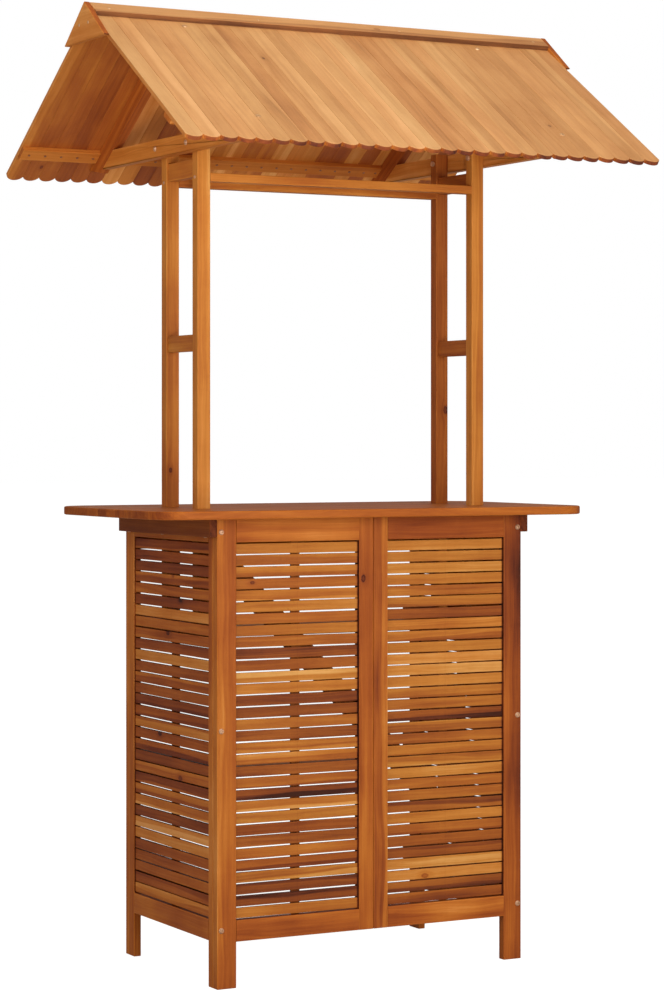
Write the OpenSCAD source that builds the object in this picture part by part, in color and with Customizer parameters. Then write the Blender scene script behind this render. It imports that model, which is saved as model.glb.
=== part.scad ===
// Outdoor bar table with a pitched roof, in oiled hardwood.
// Millimetres. +Z up, customer side towards -Y. The origin is on the
// ground in the middle of the roof's plan.

/* [Cabinet] */
// Width over the legs
cab_w = 780; // [700:2:860]
// Depth over the legs
cab_d = 488; // [470:2:500]
// How far the cabinet's middle lies behind the ridge
cab_shift = 11; // [6:1:14]
// Height of the legs, under the counter
leg_h = 1026; // [1000:1:1040]
// Width of the outer legs
leg_w = 47; // [44:1:52]
// Width of each stile at the centre seam
mid_w = 37; // [32:1:42]
// Thickness of the front panels
front_t = 22; // [22:1:26]
// Thickness of the side panels
side_t = 18; // [18:1:22]
// Width of the stile behind each front leg
side_stile_w = 23; // [21:1:28]
// Clear height under the bottom rails
rail_z = 101; // [80:1:120]
// Height of the bottom rails
rail_h = 47; // [40:1:55]
// Height of the top rails
top_rail_h = 52; // [48:1:56]
// Height of the rail across the open back
back_rail_h = 82; // [70:1:90]
// Slats in each panel
slat_n = 32; // [24:1:32]
// Gap between neighbouring slats
slat_gap = 2.8; // [2.4:0.1:5]
// Slat thickness
slat_t = 9; // [7:1:9]

/* [Shelves] */
// Underside of the upper shelf boards
shelf_hi = 748; // [744:1:760]
// Underside of the lower shelf boards
shelf_lo = 430; // [429:1:445]
// Thickness of the shelf boards
shelf_t = 10; // [10:1:16]
// Width of one shelf board
shelf_w = 78; // [60:1:79]
// Boards in each shelf
shelf_n = 3; // [2:1:3]
// Height of the rails that carry the shelves
end_rail_h = 56; // [50:1:60]

/* [Counter] */
// Counter length
top_w = 1100; // [1000:5:1180]
// Counter depth
top_d = 600; // [560:5:640]
// Counter thickness
top_t = 19; // [18:1:28]
// Radius of the counter's corners
top_r = 80; // [40:5:120]
// How far the counter's middle lies behind the ridge
top_shift = 8; // [4:1:14]
// Thickness of the cleats under the counter
cleat_t = 18; // [16:1:26]
// Height of the cleats under the counter
cleat_h = 40; // [36:1:46]

/* [Posts] */
// Post width, along the counter
post_w = 32; // [30:1:36]
// Post depth
post_d = 28; // [26:1:32]
// Clear distance between the front and the back posts
post_gap = 136; // [120:2:150]
// Top of the posts
post_top = 1883; // [1860:1:1886]
// Lower edge of the middle ladder rails
ladder_mid = 1397; // [1200:1:1500]
// Lower edge of the top ladder rails
ladder_top = 1786; // [1700:1:1790]

/* [Roof] */
// Overall height
height = 2170; // [2160:1:2180]
// Roof length over the gable plates
roof_w = 1210; // [1190:2:1240]
// Roof depth over the eaves
roof_d = 1020; // [1000:2:1050]
// Roof fall for each millimetre out from the ridge
fall = 0.65; // [0.63:0.005:0.67]
// Boards on each slope
board_n = 29; // [29:1:29]
// Board thickness
board_t = 10; // [9:1:12]
// Gap between neighbouring boards
board_gap = 0.5; // [0.3:0.1:1]
// Radius of the boards' lower ends
scallop_r = 22.5; // [21.5:0.5:30]
// Width of the ridge boards along the slope
cap_w = 45; // [40:1:60]
// Thickness of the ridge boards
cap_t = 12; // [10:1:14]
// Thickness of the gable plates
gable_t = 13; // [10:1:16]
// Half the width of a gable plate
gable_half = 113; // [100:1:120]
// Height of the gable plates; their corners end level with the top of the roof boards
gable_drop = 87.5; // [80:0.5:95]
// Width of the roof battens
batten_w = 38; // [34:1:46]
// Thickness of the roof battens
batten_t = 12; // [11:1:20]
// Thickness of the rafters and tie beams
truss_t = 22; // [20:1:24]
// Depth of the rafters
rafter_h = 45; // [42:1:50]
// Lower edge of the tie beams
tie_z = 1840; // [1832:1:1842]
// Height of the tie beams
tie_h = 41; // [36:1:42]

/* [Hidden] */

$fn = 32;
e = 0.01;
ease = 1.5;                       // eased edge along every stick
hx = cab_w / 2;                   // outer face of the side panels
ix = hx - side_t;                 // inner face of the side panels
yf = cab_shift - cab_d / 2;       // front face of the cabinet
yb = cab_shift + cab_d / 2;       // back face of the cabinet
fy = yf + front_t;                // back face of the front panels
slat_z0 = rail_z + rail_h;
slat_z1 = leg_h - top_rail_h;
pitch = (slat_z1 - slat_z0 - slat_gap) / slat_n;
slat_h = pitch - slat_gap;
tongue = 8;                       // how far slats and rails enter the grooves
f_slat_y = yf + (front_t - slat_t) / 2; // front face of the front slats
s_slat_x = hx - 3;                // outer face of the side slats
s_y0 = fy + side_stile_w;         // side panel opening
s_y1 = yb - leg_w;
rail_t = 20;                      // shelf rail thickness
rx = ix - rail_t;                 // inner face of the shelf rails
end_rail_z = [168, 424, 739];      // lower edges of the rails inside the ends
post_x0 = ix - post_w;
py0 = post_gap / 2;
py1 = py0 + post_d;
post_z0 = end_rail_z[2] + end_rail_h;
ladder_t = 23;
ladder_x1 = ix - 4;
mid_h = 37;
lad_h = 40;
header_z = 1775;
header_h = 19;
counter_z = leg_h + top_t;
bx1 = roof_w / 2 - gable_t;       // ends of the roof boards
ca = 1 / sqrt(1 + fall * fall);
sa = fall * ca;
ang = atan(fall);
eave_s = (roof_d / 2 + cap_t * sa) / ca; // slope length from ridge to eave
b_pitch = 2 * bx1 / board_n;
low_s = eave_s - 111;             // middle of the lower battens
up_s = 48;                        // middle of the upper battens
tx0 = ix;                         // inner face of the trusses
tx1 = ix + truss_t;
bolt_x = hx - 10;
bolt_z = [128, 563, 997];

// Distances are measured down from the ridge boards' top plane.
function zat(y, h) = height - fall * abs(y) - h / ca;
// Point of a slope at s down the roof and h under the top plane, as [y, z].
function sp(s, h) = [s * ca - h * sa, height - s * sa - h * ca];
// Eased rectangle.
function sec(a, b, c) = [[c, 0], [a - c, 0], [a, c], [a, b - c],
                         [a - c, b], [c, b], [0, b - c], [0, c]];

light = [0.80, 0.50, 0.24];
mid = [0.70, 0.38, 0.15];
warm = [0.62, 0.32, 0.13];
dark = [0.40, 0.20, 0.09];
steel = [0.74, 0.72, 0.70];

// Sticks that run along X, Y or Z between two corners.
module stick_x(x0, x1, y0, y1, z0, z1, c = ease)
  translate([x0, y0, z0]) rotate([90, 0, 90])
    linear_extrude(x1 - x0) polygon(sec(y1 - y0, z1 - z0, c));
module stick_y(x0, x1, y0, y1, z0, z1, c = ease)
  translate([x0, y1, z0]) rotate([90, 0, 0])
    linear_extrude(y1 - y0) polygon(sec(x1 - x0, z1 - z0, c));
module stick_z(x0, x1, y0, y1, z0, z1, c = ease)
  translate([x0, y0, z0]) linear_extrude(z1 - z0) polygon(sec(x1 - x0, y1 - y0, c));
module block(x0, x1, y0, y1, z0, z1)
  translate([x0, y0, z0]) cube([x1 - x0, y1 - y0, z1 - z0]);
// Profile drawn in the Y-Z plane, run along X.
module along_x(x0, x1, pts)
  translate([x0, 0, 0]) rotate([90, 0, 90]) linear_extrude(x1 - x0) polygon(pts);
// Everything sided is drawn for +X and mirrored for -X.
module side(s) { if (s > 0) children(); else mirror([1, 0, 0]) children(); }
// Drawn for the back slope and turned about the ridge for the front one.
module slope(s) { if (s > 0) children(); else mirror([0, 1, 0]) children(); }
// Puts +Z along the slope's outward normal at s down the roof, h under the top plane.
module on_slope(x, s, h)
  translate([x, sp(s, h)[0], sp(s, h)[1]]) rotate([-ang, 0, 0]) children();

// Fasteners point down -Z from their head, which stands on z = 0.
module button_bolt(r, l, hr = 6.2, hh = 3.2) {
  difference() {
    union() {
      cylinder(r = hr, h = 1);
      translate([0, 0, 1]) cylinder(r1 = hr, r2 = hr * 0.62, h = hh - 1);
    }
    translate([0, 0, hh - 1.8]) cylinder(r = hr * 0.36, h = 3, $fn = 6);
  }
  translate([0, 0, -l]) cylinder(r = r, h = l + e);
}
module pan_screw(r, l, hr = 3.4, hh = 1.8) {
  difference() {
    union() {
      cylinder(r = hr, h = 0.8);
      translate([0, 0, 0.8]) cylinder(r1 = hr, r2 = hr * 0.6, h = hh - 0.8);
    }
    for (a = [0, 90]) rotate([0, 0, a]) translate([-hr * 0.45, -0.35, hh - 0.9]) cube([hr * 0.9, 0.7, 2]);
  }
  translate([0, 0, -l]) cylinder(r = r, h = l + e);
}
module hex_nut(r, hole, h) difference() {
  cylinder(r = r, h = h, $fn = 6);
  translate([0, 0, -1]) cylinder(r = hole, h = h + 2);
}
// Where each set of fasteners stands. The holes are drawn in the same places.
module at_leg_bolts() for (s = [-1, 1], z = bolt_z)
  translate([s * bolt_x, yf, z]) rotate([90, 0, 0]) children();
module at_cleat_bolts(s) for (y = [yf + 60, yb - 60])
  translate([s * ix, y, leg_h - 20]) rotate([0, -s * 90, 0]) children();
module at_counter_screws(s) for (y = [yf + 40, cab_shift + 20, yb - 40])
  translate([s * (hx + cleat_t / 2), y, leg_h - cleat_h]) rotate([180, 0, 0]) children();
module at_shelf_screws(s) for (z = [shelf_hi, shelf_lo], i = [0 : shelf_n - 1], d = [-20, 20])
  translate([s * (ix - 3), shelf_y(i) + shelf_w / 2 + d, z + shelf_t / 2]) rotate([0, s * 90, 0]) children();
module at_brace_screws() for (x = [-357, -19, 19, 357])
  translate([x, fy + 18, brace_z(x)]) rotate([-90, 0, 0]) children();
module at_header_screws(s) for (f = [-1, 1])
  translate([s * ix, f * (py0 + py1) / 2, header_z + header_h / 2]) rotate([0, s * 90, 0]) children();
module at_post_bolts(s) for (f = [-1, 1])
  translate([s * post_x0, f * (py0 + py1) / 2, leg_h - 26]) rotate([0, -s * 90, 0]) children();
module at_tie_bolts(s) for (f = [-1, 1])
  translate([s * tx1, f * (py0 + py1) / 2, tie_z + tie_h / 2]) rotate([0, s * 90, 0]) children();
module at_roof_bolts(f) slope(f) for (x = [-1, 1], s = [68, low_s])
  on_slope(x * (tx0 + tx1) / 2, s, cap_t) children();
function screw_x(i) = let (x = -bx1 + (i + 0.5) * b_pitch)
  abs(x) < tx0 ? sign(x) * min(abs(x), tx0 - 12) : sign(x) * max(abs(x), tx1 + 8);
module at_batten_screws(f, s) slope(f) for (i = [0 : board_n - 1])
  on_slope(screw_x(i), s, cap_t + board_t + batten_t) rotate([180, 0, 0]) children();
module at_cap_screws(f) slope(f) for (x = [-555, -185, 185, 555])
  on_slope(x, cap_w - 16, 0) children();
module at_gable_screws(s, f) slope(f)
  translate([s * roof_w / 2, sp(up_s, cap_t + board_t + batten_t / 2)[0], sp(up_s, cap_t + board_t + batten_t / 2)[1]])
    rotate([0, s * 90, 0]) children();

// Cabinet front.
module front_leg(s) color(light) side(s) difference() {
  stick_z(hx - leg_w, hx, yf, fy, 0, leg_h);
  block(hx - leg_w - 1, hx - leg_w + tongue + 0.5, f_slat_y - 0.1, f_slat_y + slat_t + 0.1, rail_z + 5, leg_h - 5);
  for (z = bolt_z) translate([bolt_x, yf - 1, z]) rotate([-90, 0, 0]) cylinder(r = 3.1, h = front_t + 2);
  translate([357, fy + 1, brace_z(s * 357)]) rotate([90, 0, 0]) cylinder(r = 2, h = 15);
}
module front_left_leg() front_leg(-1);
module front_right_leg() front_leg(1);

module centre_stile(s) color(light) side(s) difference() {
  stick_z(0.3, mid_w, yf, fy, rail_z, leg_h);
  block(mid_w - tongue - 0.5, mid_w + 1, f_slat_y - 0.1, f_slat_y + slat_t + 0.1, rail_z + 5, leg_h - 5);
  translate([19, fy + 1, brace_z(s * 19)]) rotate([90, 0, 0]) cylinder(r = 2, h = 15);
}
module left_centre_stile() centre_stile(-1);
module right_centre_stile() centre_stile(1);

module front_rail(z0, z1) for (s = [-1, 1]) side(s) {
  stick_x(mid_w, hx - leg_w, yf, fy, z0, z1);
  block(mid_w - tongue, hx - leg_w + tongue, f_slat_y, f_slat_y + slat_t, z0 + 6, z1 - 6);
}
module front_top_rails() color(mid) front_rail(leg_h - top_rail_h, leg_h);
module front_bottom_rails() color(warm) front_rail(rail_z, rail_z + rail_h);

module front_slats(s) side(s) for (i = [0 : slat_n - 1])
  color(i % 3 == 0 ? dark : i % 3 == 1 ? light : mid)
    stick_x(mid_w - tongue, hx - leg_w + tongue, f_slat_y, f_slat_y + slat_t,
      slat_z0 + slat_gap + i * pitch, slat_z0 + slat_gap + i * pitch + slat_h, 1.2);
module front_left_slats() front_slats(-1);
module front_right_slats() front_slats(1);

module front_slat_battens() color(warm) for (s = [-1, 1]) side(s)
  stick_z((mid_w + hx - leg_w) / 2 - 11, (mid_w + hx - leg_w) / 2 + 11,
    f_slat_y + slat_t, fy, slat_z0, slat_z1, 1);

// Brace behind the front panels, high on the left and low on the right.
brace_x = ix - 0.5;
brace_w = 49;
brace_slope = 1.046;
function brace_z(x) = 557 - brace_slope * x;
module diagonal_brace() color(dark) difference() {
  v = brace_w * sqrt(1 + brace_slope * brace_slope) / 2;
  translate([0, fy + 18, 0]) rotate([90, 0, 0]) linear_extrude(18) polygon([
    [-brace_x, brace_z(-brace_x) - v], [brace_x, brace_z(brace_x) - v],
    [brace_x, brace_z(brace_x) + v], [-brace_x, brace_z(-brace_x) + v]]);
  at_brace_screws() translate([0, 0, -19]) cylinder(r = 2, h = 20);
}

// Cabinet sides.
module side_stile(s) color(mid) side(s) difference() {
  stick_z(ix, hx, fy, fy + side_stile_w, 0, leg_h);
  block(s_slat_x - slat_t - 0.1, s_slat_x + 0.1, s_y0 - tongue - 0.5, s_y0 + 1, rail_z + 5, leg_h - 5);
  for (z = bolt_z) {
    translate([bolt_x, fy - 1, z]) rotate([-90, 0, 0]) cylinder(r = 4.6, h = 14);
  }
}
module left_side_stile() side_stile(-1);
module right_side_stile() side_stile(1);

module back_leg(s) color(mid) side(s) difference() {
  stick_z(ix, hx, s_y1, yb, 0, leg_h);
  block(s_slat_x - slat_t - 0.1, s_slat_x + 0.1, s_y1 - 1, s_y1 + tongue + 0.5, rail_z + 5, leg_h - 5);
}
module back_left_leg() back_leg(-1);
module back_right_leg() back_leg(1);

module side_rails(s) color(mid) side(s) difference() {
  for (z = [[rail_z, rail_z + rail_h], [slat_z1, leg_h]]) union() {
    stick_y(ix, hx, s_y0, s_y1, z[0], z[1]);
    block(s_slat_x - slat_t, s_slat_x, s_y0 - tongue, s_y1 + tongue, z[0] + 6, z[1] - 6);
  }
  at_cleat_bolts(1) translate([0, 0, -side_t - 1]) cylinder(r = 2.6, h = side_t + 2);
  at_post_bolts(1) translate([0, 0, -post_w - side_t - 1]) cylinder(r = 3.1, h = side_t + 2);
}
module left_side_rails() side_rails(-1);
module right_side_rails() side_rails(1);

module side_slats(s) side(s) for (i = [0 : slat_n - 1])
  color(i % 3 == 0 ? warm : i % 3 == 1 ? dark : mid)
    stick_y(s_slat_x - slat_t, s_slat_x, s_y0 - tongue, s_y1 + tongue,
      slat_z0 + slat_gap + i * pitch, slat_z0 + slat_gap + i * pitch + slat_h, 1.2);
module left_side_slats() side_slats(-1);
module right_side_slats() side_slats(1);

module side_batten(s) color(warm) side(s)
  stick_z(ix, s_slat_x - slat_t, cab_shift - 17, cab_shift + 17, slat_z0, slat_z1, 1);
module left_slat_batten() side_batten(-1);
module right_slat_batten() side_batten(1);

module cleat(s) color(dark) side(s) difference() {
  stick_y(hx, hx + cleat_t, yf, yb, leg_h - cleat_h, leg_h);
  at_cleat_bolts(1) translate([0, 0, -side_t - 14]) cylinder(r = 2.6, h = 15);
  at_post_bolts(1) translate([0, 0, -post_w - side_t - 13]) cylinder(r = 3.1, h = 14);
  at_counter_screws(1) translate([0, 0, -cleat_h - 1]) cylinder(r = 2.1, h = cleat_h + 2);
}
module left_counter_cleat() cleat(-1);
module right_counter_cleat() cleat(1);

module back_top_rail() color(mid) stick_x(-ix, ix, yb - 22, yb, leg_h - back_rail_h, leg_h);

// Storage.
function shelf_y(i) = yb - 2 - shelf_w - (shelf_n - 1 - i) * (shelf_w + 4);
module shelf_rails(s) color(warm) side(s) difference() {
  for (z = end_rail_z)
    stick_y(rx, ix, s_y0, yb - 2, z, z + end_rail_h);
  at_shelf_screws(1) {
    translate([0, 0, -18]) cylinder(r = 2.1, h = 20);
    cylinder(r = 4.2, h = 5);
  }
}
module left_shelf_rails() shelf_rails(-1);
module right_shelf_rails() shelf_rails(1);

module shelf(z) color(mid) difference() {
  for (i = [0 : shelf_n - 1])
    stick_x(-rx, rx, shelf_y(i), shelf_y(i) + shelf_w, z, z + shelf_t);
  for (s = [-1, 1]) at_shelf_screws(s) translate([0, 0, -44]) cylinder(r = 2.1, h = 30);
}
module upper_shelf_boards() shelf(shelf_hi);
module lower_shelf_boards() shelf(shelf_lo);

// Counter with rounded corners and a close opening for each post.
module countertop() color(warm) difference() {
  translate([0, top_shift, leg_h]) linear_extrude(top_t) union() {
    square([top_w, top_d - 2 * top_r], center = true);
    square([top_w - 2 * top_r, top_d], center = true);
    for (x = [-1, 1], y = [-1, 1])
      translate([x * (top_w / 2 - top_r), y * (top_d / 2 - top_r)]) circle(r = top_r, $fn = 64);
  }
  for (x = [-1, 1], y = [-1, 1])
    translate([x * (ix - post_w / 2), y * (py0 + py1) / 2, leg_h + top_t / 2])
      cube([post_w + 1, post_d + 1, top_t + 2], center = true);
  for (s = [-1, 1]) at_counter_screws(s) translate([0, 0, -cleat_h - 12]) cylinder(r = 2.1, h = 14);
}

// Posts.
module post(s, f) color(light) side(s) slope(f) difference() {
  stick_z(post_x0, ix, py0, py1, post_z0, post_top);
  for (z = [[ladder_mid, mid_h], [ladder_top, lad_h]])
    block(ladder_x1 - ladder_t + 6.5, ladder_x1 - 6.5, py0 - 1, py0 + tongue + 0.5, z[0] + 5.5, z[0] + z[1] - 5.5);
  translate([post_x0 - 1, (py0 + py1) / 2, leg_h - 26]) rotate([0, 90, 0]) cylinder(r = 3.1, h = post_w + 2);
  translate([post_x0 - 1, (py0 + py1) / 2, tie_z + tie_h / 2]) rotate([0, 90, 0]) cylinder(r = 3.1, h = post_w + 2);
  translate([post_x0 - 1, (py0 + py1) / 2, header_z + header_h / 2]) rotate([0, 90, 0]) cylinder(r = 2.1, h = post_w + 2);
}
module front_left_post() post(-1, -1);
module front_right_post() post(1, -1);
module back_left_post() post(-1, 1);
module back_right_post() post(1, 1);

module ladder_rails(s) color(mid) side(s)
  for (z = [[ladder_mid, mid_h], [ladder_top, lad_h]]) union() {
    stick_y(ladder_x1 - ladder_t, ladder_x1, -py0, py0, z[0], z[0] + z[1]);
    block(ladder_x1 - ladder_t + 6.5, ladder_x1 - 6.5, -py0 - tongue, py0 + tongue, z[0] + 6, z[0] + z[1] - 6);
  }
module left_ladder_rails() ladder_rails(-1);
module right_ladder_rails() ladder_rails(1);

module header(f) color(light) slope(f) difference() {
  stick_x(-post_x0, post_x0, py0, py1, header_z, header_z + header_h);
  for (s = [-1, 1]) at_header_screws(s) translate([0, 0, -post_w - 26]) cylinder(r = 2.1, h = 28);
}
module front_header_rail() header(-1);
module back_header_rail() header(1);

// Trusses.
rh = cap_t + board_t;              // top of rafters and battens
module tie_beam(s) color(mid) side(s) difference() {
  along_x(tx0, tx1, let (lo = (height - (rh + rafter_h + 0.2) / ca - tie_z) / fall,
                         hi = (height - (rh + rafter_h + 0.2) / ca - tie_z - tie_h) / fall)
    [[-lo, tie_z], [lo, tie_z], [hi, tie_z + tie_h], [-hi, tie_z + tie_h]]);
  at_tie_bolts(1) translate([0, 0, -truss_t - 1]) cylinder(r = 3.1, h = truss_t + 2);
}
module left_tie_beam() tie_beam(-1);
module right_tie_beam() tie_beam(1);

module rafters(s) color(warm) side(s) for (f = [-1, 1]) slope(f) difference() {
  along_x(tx0, tx1, [[0.2, zat(0.2, rh)], sp(eave_s - 48, rh), sp(eave_s - 99, rh + rafter_h),
    [0.2, zat(0.2, rh + rafter_h)]]);
  for (d = [68, low_s]) on_slope((tx0 + tx1) / 2, d, cap_t)
    translate([0, 0, -board_t - 31]) cylinder(r = 2.6, h = 32);
}
module left_rafters() rafters(-1);
module right_rafters() rafters(1);

// Roof covering: boards down the slope with rounded lower ends.
module roof_boards(f) slope(f) difference() {
  for (i = [0 : board_n - 1]) color(i % 4 == 0 ? mid : light)
    on_slope(-bx1 + i * b_pitch, 0, cap_t + board_t) linear_extrude(board_t) {
      w = b_pitch - board_gap;
      sag = scallop_r - sqrt(scallop_r * scallop_r - w * w / 4);
      intersection() {
        translate([0, 7]) square([w, eave_s - 7]);
        union() {
          translate([0, 7]) square([w, eave_s - 7 - sag]);
          translate([w / 2, eave_s - scallop_r]) circle(r = scallop_r, $fn = 64);
        }
      }
    }
  for (x = [-1, 1], s = [68, low_s])
    on_slope(x * (tx0 + tx1) / 2, s, cap_t) translate([0, 0, -board_t - 1]) cylinder(r = 2.6, h = board_t + 2);
  for (i = [0 : board_n - 1], s = [up_s, low_s])
    on_slope(screw_x(i), s, cap_t + board_t) translate([0, 0, -1]) cylinder(r = 1.6, h = 8);
}
module front_roof_boards() roof_boards(-1);
module back_roof_boards() roof_boards(1);

module roof_battens(f) color(warm) slope(f) difference() {
  for (s = [up_s, low_s], x = [[-bx1 + 1, -tx1 - 0.3], [-tx0 + 0.3, tx0 - 0.3], [tx1 + 0.3, bx1 - 1]])
    along_x(x[0], x[1], [sp(s - batten_w / 2, rh), sp(s + batten_w / 2, rh),
      sp(s + batten_w / 2, rh + batten_t - 2), sp(s + batten_w / 2 - 2, rh + batten_t),
      sp(s - batten_w / 2 + 2, rh + batten_t), sp(s - batten_w / 2, rh + batten_t - 2)]);
  for (i = [0 : board_n - 1], s = [up_s, low_s])
    on_slope(screw_x(i), s, rh + batten_t) translate([0, 0, -1]) cylinder(r = 1.6, h = batten_t + 2);
  for (s = [-1, 1]) translate([s * (bx1 - 26), sp(up_s, rh + batten_t / 2)[0], sp(up_s, rh + batten_t / 2)[1]])
    rotate([0, s * 90, 0]) cylinder(r = 1.6, h = 30);
}
module front_roof_battens() roof_battens(-1);
module back_roof_battens() roof_battens(1);

module ridge_board(f) color(light) slope(f) difference() {
  along_x(-bx1, bx1, [[0.2, zat(0.2, 0)], sp(cap_w, 0), sp(cap_w, cap_t), [0.2, zat(0.2, cap_t)]]);
  for (x = [-555, -185, 185, 555])
    on_slope(x, cap_w - 16, 0) translate([0, 0, -cap_t - 1]) cylinder(r = 1.6, h = cap_t + 2);
}
module front_ridge_board() ridge_board(-1);
module back_ridge_board() ridge_board(1);

module gable_plate(s) color(mid) side(s) difference() {
  along_x(bx1, roof_w / 2, [[0, height], [gable_half, height - gable_drop], [-gable_half, height - gable_drop]]);
  for (f = [-1, 1]) at_gable_screws(1, f) translate([0, 0, -gable_t - 1]) cylinder(r = 1.6, h = gable_t + 2);
}
module left_gable_plate() gable_plate(-1);
module right_gable_plate() gable_plate(1);

// Fasteners.
module leg_bolts() color(steel) at_leg_bolts() button_bolt(3, front_t + 12);
module leg_bolt_sleeves() color(steel) for (s = [-1, 1], z = bolt_z)
  translate([s * bolt_x, fy, z]) rotate([-90, 0, 0]) difference() {
    cylinder(r = 4.5, h = 12.5);
    translate([0, 0, -1]) cylinder(r = 3.1, h = 15);
  }
module cleat_bolts() color(steel) for (s = [-1, 1]) at_cleat_bolts(s) button_bolt(2.5, side_t + 13, 5.2, 2.8);
module counter_screws() color(steel) for (s = [-1, 1]) at_counter_screws(s) pan_screw(2, cleat_h + 11, 4, 2);
module shelf_screws() color(steel) for (s = [-1, 1]) at_shelf_screws(s) pan_screw(2, 40, 3.8, 2);
module brace_screws() color(steel) at_brace_screws() pan_screw(1.9, 31, 3.8, 2);
module header_screws() color(steel) for (s = [-1, 1]) at_header_screws(s) pan_screw(2, post_w + 24, 4, 2);
module post_bolts() color(steel) for (s = [-1, 1]) at_post_bolts(s) button_bolt(3, post_w + side_t + 12);
module tie_bolts() color(steel) for (s = [-1, 1]) at_tie_bolts(s) {
  button_bolt(3, truss_t + post_w + 6);
  translate([0, 0, -truss_t - post_w - 5.2]) hex_nut(6.4, 3.1, 5);
}
module roof_bolts() color(steel) for (f = [-1, 1]) at_roof_bolts(f) button_bolt(2.5, board_t + 29, 6, 2.8);
module batten_screws() color(steel) for (f = [-1, 1], s = [up_s, low_s])
  at_batten_screws(f, s) pan_screw(1.5, batten_t + 6, 3.2, 1.6);
module ridge_and_gable_screws() color(steel) for (f = [-1, 1]) {
  at_cap_screws(f) pan_screw(1.5, cap_t - 0.5, 3.4, 1.6);
  for (s = [-1, 1]) at_gable_screws(s, f) pan_screw(1.5, gable_t + 24, 3.4, 1.6);
}

front_left_leg();
front_right_leg();
left_centre_stile();
right_centre_stile();
front_top_rails();
front_bottom_rails();
front_left_slats();
front_right_slats();
front_slat_battens();
diagonal_brace();
left_side_stile();
right_side_stile();
back_left_leg();
back_right_leg();
left_side_rails();
right_side_rails();
left_side_slats();
right_side_slats();
left_slat_batten();
right_slat_batten();
left_counter_cleat();
right_counter_cleat();
back_top_rail();
left_shelf_rails();
right_shelf_rails();
upper_shelf_boards();
lower_shelf_boards();
countertop();
front_left_post();
front_right_post();
back_left_post();
back_right_post();
left_ladder_rails();
right_ladder_rails();
front_header_rail();
back_header_rail();
left_tie_beam();
right_tie_beam();
left_rafters();
right_rafters();
front_roof_boards();
back_roof_boards();
front_roof_battens();
back_roof_battens();
front_ridge_board();
back_ridge_board();
left_gable_plate();
right_gable_plate();
leg_bolts();
leg_bolt_sleeves();
cleat_bolts();
counter_screws();
shelf_screws();
brace_screws();
header_screws();
post_bolts();
tie_bolts();
roof_bolts();
batten_screws();
ridge_and_gable_screws();
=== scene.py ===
import bpy
import math
import random
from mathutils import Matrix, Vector


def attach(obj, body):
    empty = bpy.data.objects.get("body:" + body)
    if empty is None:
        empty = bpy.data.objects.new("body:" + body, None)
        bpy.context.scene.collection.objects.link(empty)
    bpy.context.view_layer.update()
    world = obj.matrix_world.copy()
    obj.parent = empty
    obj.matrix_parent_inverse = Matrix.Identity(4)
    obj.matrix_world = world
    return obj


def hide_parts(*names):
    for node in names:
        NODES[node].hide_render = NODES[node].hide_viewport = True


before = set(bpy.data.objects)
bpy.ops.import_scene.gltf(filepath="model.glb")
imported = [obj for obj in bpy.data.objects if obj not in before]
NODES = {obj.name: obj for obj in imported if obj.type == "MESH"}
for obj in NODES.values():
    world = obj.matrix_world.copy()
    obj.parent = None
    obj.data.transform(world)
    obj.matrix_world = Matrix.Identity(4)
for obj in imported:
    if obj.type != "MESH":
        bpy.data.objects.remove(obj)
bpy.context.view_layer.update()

# ---------------------------------------------------------------- constants
# The same sizes as in the CAD source, in metres.
HEIGHT, FALL = 2.170, 0.65
ROOF_W, ROOF_D = 1.210, 1.020
CAP_T, CAP_W, BOARD_T, BOARD_N = 0.012, 0.045, 0.010, 29
GABLE_T, GABLE_HALF, GABLE_DROP = 0.013, 0.113, 0.0875
RAFTER_H, TRUSS_T = 0.045, 0.022
TIE_Z, TIE_H = 1.840, 0.041
IX = 0.372
CA = 1 / math.sqrt(1 + FALL * FALL)
SA = FALL * CA
EAVE_S = (ROOF_D / 2 + CAP_T * SA) / CA
BX1 = ROOF_W / 2 - GABLE_T
B_PITCH = 2 * BX1 / BOARD_N
SCALLOP_R = 0.0225
TONGUE = 0.008
YF = 0.011 - 0.488 / 2
FY = YF + 0.022
LEG_H, TOP_T = 1.026, 0.019
TOP_W, TOP_D, TOP_R, TOP_Y = 1.100, 0.600, 0.080, 0.008
RH = CAP_T + BOARD_T
# the openings of the slatted panels: front across, side front to back, and up
OPEN_X, OPEN_Y, OPEN_Z = (0.037, 0.343), (-0.188, 0.208), (0.148, 0.974)


def srgb(r, g, b, a=1.0):
    def lin(c):
        c = c / 255.0
        return c / 12.92 if c <= 0.04045 else ((c + 0.055) / 1.055) ** 2.4
    return (lin(r), lin(g), lin(b), a)


# ---------------------------------------------------------------- camera
cam_data = bpy.data.cameras.new("camera")
cam = bpy.data.objects.new("camera", cam_data)
bpy.context.scene.collection.objects.link(cam)
cam.location = (-3.0243, -5.6614, 1.20565)
cam.rotation_euler = (math.radians(90), 0, math.radians(-28.298))
cam_data.sensor_width = 36.0
cam_data.sensor_fit = "AUTO"
cam_data.lens = 100.457
cam_data.shift_x = -0.0018
cam_data.shift_y = -0.0599
cam_data.clip_end = 200.0
bpy.context.scene.camera = cam


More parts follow.
